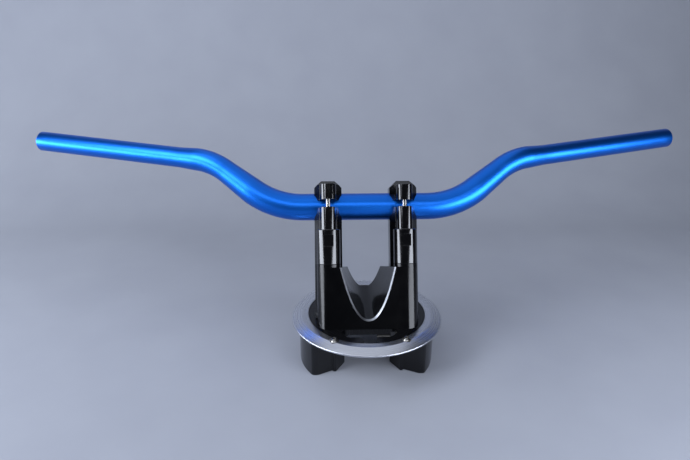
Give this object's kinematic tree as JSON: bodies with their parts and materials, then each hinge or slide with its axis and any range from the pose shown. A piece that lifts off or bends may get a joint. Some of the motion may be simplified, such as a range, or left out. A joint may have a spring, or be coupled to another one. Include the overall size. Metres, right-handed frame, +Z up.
{
  "type": "handlebar riser",
  "caption": "Tapered handlebar held by capped risers on a leaning bridge block with a curved cut-out, standing on a round deck with a dished trim ring and feet.",
  "frame": {"origin": "centre of the four fixing holes, in the plane of the feet's undersides", "axes": "+Z up along the steering axis, +X to the right seen from the front, +Y to the rear, the way the posts lean and the bar sweeps"},
  "size_m": [0.7572, 0.2437, 0.2104],
  "materials": {
    "bar_blue": "blasted and blue anodised, satin",
    "black_anodised": "milled and black anodised, glossy",
    "deck_anodised": "turned and black anodised, with fine turning rings",
    "foot_anodised": "milled and black anodised, satin",
    "bare_aluminium": "turned, bare and lightly polished",
    "stainless": "bare stainless steel",
    "black_steel": "black oxide"
  },
  "bodies": {
    "root": {"handlebar": "bar_blue", "riser_left": "black_anodised", "riser_right": "black_anodised", "cap_left": "black_anodised", "cap_right": "black_anodised", "cap_screw_left_front": "stainless", "cap_screw_left_rear": "stainless", "cap_screw_right_front": "stainless", "cap_screw_right_rear": "stainless", "bridge_block": "black_anodised", "riser_bolt_left_front": "black_steel", "riser_bolt_left_rear": "black_steel", "riser_bolt_right_front": "black_steel", "riser_bolt_right_rear": "black_steel", "riser_washers": "stainless", "deck_plate": "deck_anodised", "block_screws": "black_steel", "foot_left": "foot_anodised", "foot_right": "foot_anodised", "foot_screws_left": "black_steel", "foot_screws_right": "black_steel", "trim_ring": "bare_aluminium", "ring_screw_front_left": "stainless", "ring_screw_front_right": "stainless", "ring_screw_rear_left": "stainless", "ring_screw_rear_right": "stainless", "stop_screw": "stainless", "stop_nut": "black_steel", "stop_washer": "stainless"}
  },
  "joints": []
}
